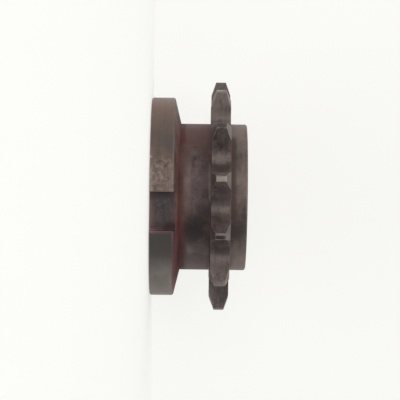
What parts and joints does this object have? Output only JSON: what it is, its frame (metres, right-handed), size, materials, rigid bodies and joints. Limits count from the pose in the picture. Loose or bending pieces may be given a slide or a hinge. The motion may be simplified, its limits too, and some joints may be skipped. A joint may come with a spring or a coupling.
{
  "type": "chain sprocket",
  "caption": "One-piece steel chain sprocket on a bored hub, with a slotted drive flange at one end and a bare groove between flange and teeth.",
  "frame": {"origin": "centre of the bore at the drive flange's outer face, on which the sprocket stands", "axes": "+Z along the bore from the flange's face to the end of the hub; -Y through the middle of the first drive slot; +X completes the frame"},
  "size_m": [0.0735, 0.0735, 0.0304],
  "materials": {
    "oxidised_steel": "machined steel with a dark brown oxide skin, rusty in its corners and worn bright on its tooth tips"
  },
  "bodies": {
    "root": {"sprocket": "oxidised_steel"}
  },
  "joints": []
}
